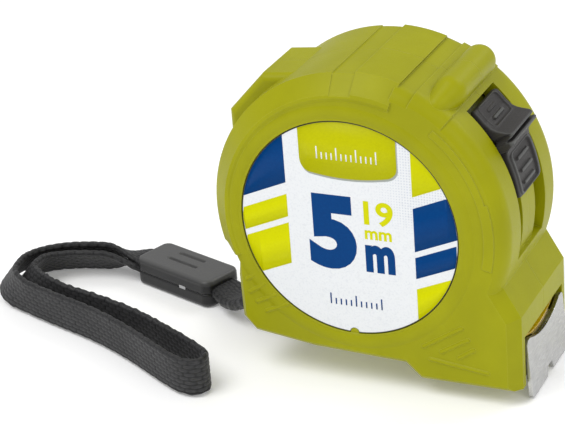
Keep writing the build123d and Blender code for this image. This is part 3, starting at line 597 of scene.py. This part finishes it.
lock_grey, lock_shade, lock_rubbed_and_lit = (0.042, 0.039, 0.038, 1), (0.032, 0.030, 0.029, 1), (0.12, 0.125, 0.12, 1)
lock_finish = moulded(
    "lock_dark", lock_grey, lock_shade, lock_rubbed_and_lit, 0.42, 4200.0, 0.00004, 0.0002, Specular_IOR_Level=0.2
)
# Painted highlight: the grip's raised frames, ribs, rounded edges and lips are painted a lighter grey.
lightened(lock_finish, "ridge_highlight", 0.2, 0.55, lock_rubbed_and_lit)
grip = shown("thumb_grip", grip_mesh, lock_finish)
legs = [shown("thumb_leg_" + name, leg(side), lock_finish) for name, side in (("near", -1), ("far", 1))]
for piece in [grip] + legs:
    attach(piece, "lock")
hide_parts("thumb_lock")

# ---- Labels ----------------------------------------------------------------------------------
# Glossy white film discs in a recess on each side, printed with slanted blocks of blue and lime, a
# lime badge at the top, the blade's length and width, and a plain row of scale marks below.
label_r = 20.85
shadow_lift, print_lift, badge_lift, scale_lift = 0.012, 0.02, 0.026, 0.034
print_slope = 0.42
dots_per_mm = 1.9
flat_only = (1.0, 0.0, 1.0)
label_x = (label_mid.x - spool_axis.x) / MM
label_z = (label_mid.z - spool_axis.z) / MM
near_face_y = (label_low.y - spool_axis.y) / MM
far_face_y = (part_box("far_label")[1].y - spool_axis.y) / MM

film_white = (0.80, 0.82, 0.84, 1)
label_film, film_tree, film_shader = finish("label_film", film_white, 0.3, Specular_IOR_Level=0.25)
film_place = node(film_tree, "ShaderNodeTexCoord").outputs["Object"]
print_links = {"Vector": film_place, "Location": tuple(-label_mid / MM), "Scale": (1 / MM, 1 / MM, 1 / MM)}
film_mm = node(film_tree, "ShaderNodeMapping", print_links).outputs[0]
dot_part = vector_maths(film_tree, "FRACTION", vector_maths(film_tree, "MULTIPLY", film_mm, (dots_per_mm,) * 3))
dot_from_mid = vector_maths(film_tree, "SUBTRACT", dot_part, (0.5, 0.5, 0.5))
dot_far = vector_maths(film_tree, "LENGTH", vector_maths(film_tree, "MULTIPLY", dot_from_mid, flat_only))
apart = node(film_tree, "ShaderNodeSeparateXYZ", {0: film_mm}).outputs
fade_x = ranged(film_tree, apart["X"], 2.0, 12.0, 0.0, 0.30)
fade_z = ranged(film_tree, apart["Z"], -2.0, 4.0, 0.0, 1.0)
dot_gap = maths(film_tree, "SUBTRACT", maths(film_tree, "MULTIPLY", fade_x, fade_z), dot_far)
dots = ranged(film_tree, dot_gap, -0.02, 0.06, 0.0, 0.5)
speck = noise(film_tree, film_place, 2600.0, 2.0)
speckled = mixed(film_tree, ranged(film_tree, speck, 0.5, 0.7, 0.0, 0.35), film_white, (0.62, 0.65, 0.70, 1))
dotted = mixed(film_tree, dots, speckled, (0.45, 0.49, 0.58, 1))
film_far = vector_maths(film_tree, "LENGTH", vector_maths(film_tree, "MULTIPLY", film_mm, flat_only))
cut_edge = ranged(film_tree, film_far, label_r - 0.05, label_r + 0.03, 0.0, 1.0)
film_tree.links.new(mixed(film_tree, cut_edge, dotted, (0.02, 0.02, 0.012, 1)), film_shader["Base Color"])
film_gloss = ranged(film_tree, noise(film_tree, film_place, 500.0), 0.3, 0.7, 0.24, 0.38)
film_tree.links.new(film_gloss, film_shader["Roughness"])
bumped(film_tree, film_shader, noise(film_tree, film_place, 700.0), 0.00002, 0.25)
give(label_film, "near_label", "far_label")


def print_finish(name, base, shade):
    """Printed ink under clear film: faint mottling in the colour and the film's uneven gloss."""
    material, tree, shader = finish(name, base, 0.35, Specular_IOR_Level=0.08)
    marks = use(tree, skin, Spark_Scale=2600.0, Patch_Scale=260.0)
    mottle = ranged(tree, marks["Spark"], 0.4, 0.7, 0, 0.6)
    tree.links.new(mixed(tree, mottle, base, shade), shader["Base Color"])
    tree.links.new(ranged(tree, marks["Patch"], 0.3, 0.7, 0.28, 0.42), shader["Roughness"])
    bumped(tree, shader, marks["Patch"], 0.00002, 0.25)
    return material


print_blue = print_finish("print_blue", (0.0, 0.045, 0.19, 1), (0.0, 0.055, 0.215, 1))
print_lime = print_finish("print_lime", (0.64, 0.65, 0.0, 1), (0.60, 0.60, 0.0, 1))
print_badge = print_finish("print_badge", (0.52, 0.52, 0.002, 1), (0.47, 0.47, 0.002, 1))
print_grey = print_finish("print_grey", (0.42, 0.45, 0.42, 1), (0.50, 0.53, 0.50, 1))
print_white = print_finish("print_white", (0.84, 0.86, 0.86, 1), (0.78, 0.80, 0.80, 1))


def on_label(x, z, height, mirrored):
    """Points on a label, from across and up in mm: on the far side left and right change places."""
    face = far_face_y + height if mirrored else near_face_y - height
    sign = -1 if mirrored else 1
    return placed(np.stack([label_x + sign * x, np.full_like(x, face), label_z + z], axis=-1))


def film_patch(name, x, top, low, material, height=print_lift, mirrored=False):
    """Flat print between a top and a low line over x, cut off by the label's rim."""
    rim = np.sqrt(np.maximum(label_r**2 - x**2, 0))
    top, low = np.minimum(top, rim), np.maximum(low, -rim)
    keep = top > low + 1e-6
    x, top, low = x[keep], top[keep], low[keep]
    both = np.stack([on_label(x, low, height, mirrored), on_label(x, top, height, mirrored)])
    if (x[-1] > x[0]) == mirrored:
        both = both[::-1]
    mesh = mesh_from(name, both.reshape(-1, 3), grid_faces(2, len(x))[:, ::-1], smooth=False)
    patch = shown(name, mesh, material)
    thick = patch.modifiers.new("film", "SOLIDIFY")
    thick.thickness = 0.012 * MM
    thick.offset = -1
    return patch


blocks = {
    "left_blue": (-11.73, 30.0, 7.92, print_blue),
    "left_lime_upper": (-11.73, 5.63, 1.13, print_lime),
    "left_lime_lower": (-11.73, -0.09, -8.31, print_lime),
    "right_lime_upper": (12.7, 30.0, 7.84, print_lime),
    "right_blue_upper": (12.7, 5.60, -2.93, print_blue),
    "right_blue_lower": (12.7, -4.09, -8.30, print_blue),
    "right_lime_lower": (12.7, -10.37, -30.0, print_lime),
}
badge_x = np.r_[np.linspace(-8.65, -6.9, 16), np.linspace(-6.7, 8.0, 24), np.linspace(8.2, 10.05, 16)]
badge_low = 9.96 + 0.0135 * (badge_x - 0.3) ** 2
badge_low += 2.1 * (1 - np.sqrt(1 - np.clip((-6.9 - badge_x) / 1.75, 0, 1) ** 2))
badge_low += 1.6 * (1 - np.sqrt(1 - np.clip((badge_x - 8.1) / 1.95, 0, 1) ** 2))
above = np.full_like(badge_x, 30.0)
scale_rows = [
    (np.arange(13) * 0.95 - 5.2, 13.4, 2.4, 4, print_white),
    (np.arange(11) * 1.0 - 4.3, -15.6, 2.2, 5, print_blue),
]
mark_half_w = 0.13
prints = []
for face, mirrored in (("near", False), ("far", True)):
    for name, (inner_x, top, low, material) in blocks.items():
        x = np.linspace(inner_x, math.copysign(label_r - 0.01, inner_x), 40)
        rise = print_slope * (x - inner_x)
        prints.append(film_patch(f"{face}_{name}", x, top + rise, low + rise, material, mirrored=mirrored))
    shadow = film_patch(
        f"{face}_badge_shadow", badge_x + 0.22, above, badge_low - 0.38, print_grey, shadow_lift, mirrored
    )
    badge = film_patch(f"{face}_badge", badge_x, above, badge_low, print_badge, badge_lift, mirrored)
    prints += [shadow, badge]
    for row, (mark_x, low_z, tall, every, material) in enumerate(scale_rows):
        for k, x in enumerate(mark_x):
            high = low_z + tall * (1.0 if k % every == 0 else 0.55)
            pair = np.array([x - mark_half_w, x + mark_half_w])
            top, low = np.full(2, high), np.full(2, low_z)
            name = f"{face}_scale_{row}_{k}"
            prints.append(film_patch(name, pair, top, low, material, scale_lift, mirrored))
size_marks = {
    "length_number": ("5", (-7.8, -8.4), (1.5, 6.5), 0.055, print_blue),
    "length_unit": ("m", (3.1, -8.1), (8.8, -2.6), 0.05, print_blue),
    "width_number": ("19", (3.2, 1.3), (8.85, 6.1), 0.025, print_lime),
    "width_unit": ("mm", (3.2, -1.5), (8.4, 0.3), 0.03, print_lime),
}
for name, (text, low, high, weight, material) in size_marks.items():
    flat_points, mesh = letter_mesh(text, weight)
    spots = fitted(flat_points, low, high)
    raised = on_label(spots[:, 0], spots[:, 1], print_lift, False)
    mesh.vertices.foreach_set("co", raised.astype(np.float32).ravel())
    prints.append(shown(name, mesh, material))
for piece in prints:
    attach(piece, "case")

# ---- Belt clip -------------------------------------------------------------------------------
# Bright spring-steel strip on the far side, bent out of its seat and back, with a flared tip. Its
# grain runs across the strip.
clip_bright, clip_shade = (0.60, 0.60, 0.60, 1), (0.46, 0.46, 0.46, 1)
clip_finish = metal("clip_steel", clip_bright, clip_shade, 0.28, (0.08, 1.0, 1.0), 0.00025)
give(clip_finish, "belt_clip")

# ---- Wrist strap -----------------------------------------------------------------------------
# A loop of dark polyester webbing, 7.6 mm wide, that stands on its edge on the floor. It folds back
# on itself near the case, leans inwards on its far run, and lies flat where the clamp grips it.
strap_w = 7.6
strap_thick = 1.3
weave_relief = 0.16
floor_gap = 0.2
loop_z = floor_z + strap_w / 2 + floor_gap
loop_route = [
    (-60.0, 16.0, floor_z + 3.55),
    (-64.4, 16.4, floor_z + 4.0),
    (-71.3, 15.2, floor_z + 4.25),
    (-78.2, 13.2, floor_z + 4.15),
    (-83.6, 9.4, floor_z + 3.95),
    (-85.9, 3.7, loop_z),
    (-83.4, -3.3, loop_z),
    (-76.9, -7.3, loop_z),
    (-67.9, -10.5, loop_z),
    (-56.9, -14.1, loop_z),
    (-46.9, -18.9, loop_z),
    (-37.9, -24.3, loop_z),
    (-31.4, -27.8, loop_z),
    (-27.7, -27.3, loop_z),
    (-27.2, -23.8, loop_z),
    (-31.9, -20.8, loop_z),
    (-38.4, -17.3, loop_z),
    (-47.9, -12.5, loop_z),
    (-57.9, -9.1, loop_z),
    (-67.9, -6.7, loop_z),
    (-75.9, -4.3, loop_z),
    (-81.2, -0.3, loop_z),
    (-82.0, 3.9, floor_z + 3.8),
    (-81.4, 8.0, floor_z + 3.5),
    (-76.6, 11.2, floor_z + 3.4),
    (-70.4, 12.9, floor_z + 3.35),
    (-64.6, 14.3, floor_z + 3.0),
    (-60.0, 15.4, floor_z + 2.2),
]


def smooth_line(name, points):
    """The line of a NURBS spline that has the given control points, in metres."""
    curve = bpy.data.curves.new(name, "CURVE")
    curve.dimensions = "3D"
    curve.resolution_u = 24
    spline = curve.splines.new("NURBS")
    spline.points.add(len(points) - 1)
    spline.points.foreach_set("co", np.c_[placed(points), np.ones(len(points))].ravel())
    spline.order_u = 3
    spline.use_endpoint_u = True
    mesh = bpy.data.meshes.new_from_object(bpy.data.objects.new(name, curve))
    line = np.zeros(len(mesh.vertices) * 3)
    mesh.vertices.foreach_get("co", line)
    return line.reshape(-1, 3)


def evenly(line, step):
    """The same line with points one step apart, and the distance along it at each."""
    along = np.r_[0, np.cumsum(np.linalg.norm(np.diff(line, axis=0), axis=1))]
    spots = np.linspace(0, along[-1], int(along[-1] / step) + 1)
    return np.stack([np.interp(spots, along, line[:, k]) for k in range(3)], axis=1), spots


def unit(v):
    """Vectors scaled to a length of one."""
    return v / np.maximum(np.linalg.norm(v, axis=-1, keepdims=True), 1e-12)


pick_len = 2.05
pick_w = strap_w / 9


def weave(along, across):
    """Height of the woven face, 0 in the gaps and 1 on a thread: domed bricks in staggered rows."""
    row = np.floor(across / pick_w)
    u = np.mod(along / pick_len + 0.5 * np.mod(row, 2), 1.0)
    v = np.mod(across / pick_w, 1.0)
    long_way = np.sqrt(np.clip(1 - np.abs(2 * u - 1) ** 2.6, 0, 1))
    cross_way = np.sqrt(np.clip(1 - (2 * v - 1) ** 2, 0, 1))
    return long_way * cross_way


def ribbon(name, line, width, thick, width_dirs, cols=98):
    """Woven strap: a flat section with rounded edges carried along a line, raised by its weave."""
    centre, along = evenly(line, 0.24 * MM)
    spots = along / MM
    ahead = unit(np.gradient(centre, axis=0))
    wide = width_dirs(spots, ahead)
    wide = unit(wide - ahead * np.sum(wide * ahead, axis=1, keepdims=True))
    out = np.cross(ahead, wide)
    half_flat, edge_r = (width - thick) / 2, thick / 2
    girth = 4 * half_flat + 2 * math.pi * edge_r
    q = np.arange(cols) / cols * girth
    side = 2 * half_flat
    turn_len = math.pi * edge_r
    angle = np.clip((q - side) / edge_r, 0, math.pi) + np.clip((q - 2 * side - turn_len) / edge_r, 0, math.pi)
    w_mid = np.where(q < side, q - half_flat, half_flat)
    w_mid = np.where(q > side + turn_len, half_flat - (q - side - turn_len), w_mid)
    w_mid = np.clip(w_mid, -half_flat, half_flat)
    normal_w, normal_n = np.sin(angle), np.cos(angle)
    s_grid, q_grid = np.meshgrid(spots, q, indexing="ij")
    height = weave(s_grid, q_grid)
    wander = 0.10 * np.sin(s_grid * 1.7 + 1.3 * np.sin(s_grid * 0.31)) + 0.07 * np.sin(s_grid * 3.06)
    lift_w = (w_mid + normal_w * edge_r)[None, :] + normal_w[None, :] * (weave_relief * (height - 1) + wander)
    lift_n = (normal_n * edge_r)[None, :] + normal_n[None, :] * weave_relief * (height - 1)
    offset = wide[:, None, :] * lift_w[..., None] + out[:, None, :] * lift_n[..., None]
    points = centre[:, None, :] + MM * offset
    uv = np.stack([s_grid / 10, q_grid / 10], axis=-1)
    rows = len(spots)
    faces = grid_faces(rows, cols, True)
    mesh = mesh_from(name, points.reshape(-1, 3), faces, uv=uv, marks={"pick": height})
    tidy(mesh, [range(cols), range((rows - 1) * cols, rows * cols)])
    return mesh


def webbing_finish(name, dark, light):
    """Woven polyester: slightly shiny threads with fine fibres along them, and painted shade, near black, in
    the gaps between the threads.
    """
    sheen = {"Sheen_Weight": 0.08, "Sheen_Roughness": 0.4}
    material, tree, shader = finish(name, dark, 0.55, Specular_IOR_Level=0.3, **sheen)
    pick = node(tree, "ShaderNodeAttribute", attribute_name="pick").outputs["Fac"]
    uv = node(tree, "ShaderNodeUVMap", uv_map="UVMap").outputs[0]
    stretch = node(tree, "ShaderNodeMapping", {"Vector": uv, "Scale": (12, 160, 1)}).outputs[0]
    fibre = noise(tree, stretch, 1.0, 4.0)
    patchy = noise(tree, uv, 1.1)
    thread = mixed(tree, ranged(tree, fibre, 0.3, 0.7, 0, 1), dark, light)
    worn = mixed(tree, ranged(tree, patchy, 0.35, 0.7, 0, 0.5), thread, dark)
    # Painted shade: where the weave is low, between the threads, the colour goes to near black.
    gap = mixed(tree, ranged(tree, pick, 0.1, 0.75, 0, 1), (0.003, 0.003, 0.0035, 1), worn)
    tree.links.new(gap, shader["Base Color"])
    tree.links.new(ranged(tree, fibre, 0.3, 0.7, 0.65, 0.45), shader["Roughness"])
    bumped(tree, shader, fibre, 0.00008, 0.5)
    return material


def loop_width(spots, ahead):
    """The strap stands upright in front, leans inwards on the far run and lies down at the clamp."""
    gap = np.minimum(spots, spots[-1] - spots)
    lean = -np.radians(39 * ease((48 - gap) / 16) + 47 * ease((10 - gap) / 10))[:, None]
    side = np.where(spots < spots[-1] / 2, 1.0, -1.0)
    outward = unit(np.stack([ahead[:, 1] * side, -ahead[:, 0] * side, np.zeros(len(side))], axis=1))
    return np.cos(lean) * np.array([0, 0, 1.0]) + np.sin(lean) * outward


strap_cloth = webbing_finish("strap_webbing", (0.012, 0.012, 0.013, 1), (0.062, 0.062, 0.064, 1))
loop_line = smooth_line("strap_loop_line", loop_route)
loop_mesh = ribbon("strap_loop", loop_line, strap_w, strap_thick, loop_width)
loop = shown("strap_loop", loop_mesh, strap_cloth)
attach(loop, "case")
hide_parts("wrist_strap")

# ---- Strap tail ------------------------------------------------------------------------------
# Both layers of the strap go through the clamp flat, rise to the rear corner of the case, and make
# an eye round the bar there.
clamp_turn = math.radians(-19.4)
clamp_along = np.array([math.cos(clamp_turn), math.sin(clamp_turn), 0.0])
clamp_across = np.array([-math.sin(clamp_turn), math.cos(clamp_turn), 0.0])
clamp_h = 5.7
clamp_z = floor_z + clamp_h / 2
clamp_mid = (-49.95, 12.67, clamp_z)
tail_w = strap_w - 0.6
tail_route = [
    (-23.3, 0.0, -20.8),
    (-28.2, 0.6, -24.9),
    (-31.8, 2.4, -28.0),
    (-35.6, 5.4, -30.0),
    (-39.15, 8.87, clamp_z),
    (-44.0, 10.55, clamp_z),
    (-52.0, 13.4, clamp_z),
    (-59.9, 16.18, clamp_z),
]


def tail_width(spots, ahead):
    """The tail's width turns from straight across the case to square to the clamp."""
    part = ease(spots / 20.0)[:, None]
    return np.array([0, 1.0, 0]) * (1 - part) + clamp_across * part


tail_line = smooth_line("strap_tail_line", tail_route)
tail_mesh = ribbon("strap_tail_webbing", tail_line, tail_w, 2 * strap_thick - 0.1, tail_width)
tail = shown("strap_tail_webbing", tail_mesh, strap_cloth)
bar_x, bar_z, eye_r = -21.4, -19.2, 1.82
round_bar = np.linspace(0, 2 * math.pi, 60)
eye_x, eye_z = bar_x + eye_r * np.cos(round_bar), bar_z + eye_r * np.sin(round_bar)
eye_line = np.stack([eye_x, 0 * round_bar, eye_z], axis=1)


def eye_width(spots, ahead):
    """The eye's width lies along the bar."""
    return np.tile([0, 1.0, 0], (len(spots), 1))


eye_mesh = ribbon("strap_eye", placed(eye_line), tail_w, strap_thick, eye_width)
eye = shown("strap_eye", eye_mesh, strap_cloth)
for piece in (tail, eye):
    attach(piece, "case")
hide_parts("strap_tail")

# ---- Strap clamp -----------------------------------------------------------------------------
# Two dark moulded halves, closed on the strap by a peg at each side. The top has two sunk grooves.
clamp_len, clamp_w = 21.3, 9.6
clamp_corner_r = 1.9
groove_depth = 0.55
clamp_grooves = [((-4.7, -1.15), (3.7, -0.35)), ((-4.15, 1.7), (3.15, 2.5))]


def clamp_half(name, sign, edge_drop, grooves):
    """Half of the clamp: a rounded outline drawn in to its middle, with height from the distance in."""
    cols = 280
    half_l, half_w, r = clamp_len / 2, clamp_w / 2, clamp_corner_r
    q = np.arange(cols) / cols * 2 * math.pi
    point = np.stack([half_l * np.cos(q), half_w * np.sin(q)], axis=1)
    stretch = np.maximum(np.abs(point[:, 0]) / half_l, np.abs(point[:, 1]) / half_w)
    box_point = point / stretch[:, None]
    core = np.clip(box_point, (r - half_l, r - half_w), (half_l - r, half_w - r))
    outline = core + unit(box_point - core) * r
    inset = np.r_[np.linspace(0, 1.0, 14), np.linspace(1.1, half_w, 46)]
    ring = outline[None] * (1 - inset / half_w)[:, None, None]
    depth = np.minimum(half_l - np.abs(ring[..., 0]), half_w - np.abs(ring[..., 1]))
    over = np.maximum(np.abs(ring) - (np.array([half_l, half_w]) - r), 0)
    depth = np.where(over.min(axis=-1) > 0, r - np.hypot(over[..., 0], over[..., 1]), depth)
    curl = np.clip(1 - depth / edge_drop, 0, 1)
    height = clamp_h / 2 - edge_drop * (1 - np.sqrt(np.maximum(1 - curl**2, 0)))
    for low, high in grooves:
        height = height - groove_depth * panel(ring[..., 0], ring[..., 1], low, high, 0.35, 0.25)
    wall = np.linspace(0.03, clamp_h / 2 - edge_drop, 8)[:-1]
    wall_ring = np.repeat(outline[None], len(wall), axis=0)
    wall_ring[0] *= 0.985
    flat = np.concatenate([wall_ring, ring])
    up = np.concatenate([np.repeat(wall[:, None], cols, axis=1), height]) * sign
    x = clamp_mid[0] + flat[..., 0] * clamp_along[0] + flat[..., 1] * clamp_across[0]
    y = clamp_mid[1] + flat[..., 0] * clamp_along[1] + flat[..., 1] * clamp_across[1]
    points = np.stack([x, y, clamp_mid[2] + up], axis=-1)
    rows = len(points)
    on_face = (np.arange(rows) >= len(wall)).astype(float)[:, None]
    # Mask of the top faces inside their rounded outline, used for the painted reflection.
    top = on_face * panel(flat[..., 0], flat[..., 1], (-half_l, -half_w), (half_l, half_w), r, 1.2)
    faces = grid_faces(rows, cols, True)
    mesh = mesh_from(name, placed(points.reshape(-1, 3)), faces, marks={"top": top})
    tidy(mesh, [range(cols)])
    return mesh


clamp_finish = moulded(
    "clamp_dark", black, black_shade, (0.16, 0.16, 0.16, 1), 0.36, 3600.0, 0.00004, Specular_IOR_Level=0.3
)
# Painted reflection: the clamp's top faces are painted a lighter grey, as the light from above would show on
# them.
lightened(clamp_finish, "top", 0, 0.75, (0.12, 0.12, 0.12, 1))
clamp_top = shown("clamp_upper", clamp_half("clamp_upper", 1, 0.9, clamp_grooves), clamp_finish)
clamp_base = shown("clamp_lower", clamp_half("clamp_lower", -1, 0.5, []), clamp_finish)
for piece, hidden in ((clamp_top, "clamp_top"), (clamp_base, "clamp_base")):
    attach(piece, "case")
    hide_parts(hidden)


# ---- Floor and light -------------------------------------------------------------------------
# A pale studio floor, which glows a little, with large soft lights above, in front and behind and
# an even white surround.
reach = 3.0
floor_mesh = bpy.data.meshes.new("studio_floor")
corners = [(-reach, -reach, 0), (reach, -reach, 0), (reach, reach, 0), (-reach, reach, 0)]
floor_mesh.from_pydata(corners, [], [(0, 1, 2, 3)])
floor_paint = finish("studio_white", (0.95, 0.95, 0.95, 1), 0.8, Emission_Strength=0.15)[0]
studio_floor = shown("studio_floor", floor_mesh, floor_paint)
studio_floor.location.z = -0.0002

world = bpy.data.worlds.new("studio")
bpy.context.scene.world = world
world.use_nodes = True
background = world.node_tree.nodes["Background"].inputs
background["Color"].default_value = (1, 1, 1, 1)
background["Strength"].default_value = 0.52


def softbox(name, spot, size, power):
    """Square light at a spot, turned towards the case."""
    lamp = bpy.data.lights.new(name, "AREA")
    lamp.size = size
    lamp.energy = power
    holder = bpy.data.objects.new(name, lamp)
    bpy.context.scene.collection.objects.link(holder)
    holder.location = spot
    holder.rotation_euler = (label_mid - Vector(spot)).to_track_quat("-Z", "Y").to_euler()


softbox("key_light", (-0.25, -0.35, 0.75), 0.5, 3.6)
softbox("front_light", (0.55, -0.35, 0.45), 0.4, 1.0)
softbox("rim_light", (0.35, 0.5, 0.6), 0.5, 1.9)

bpy.context.scene.view_settings.view_transform = "Standard"
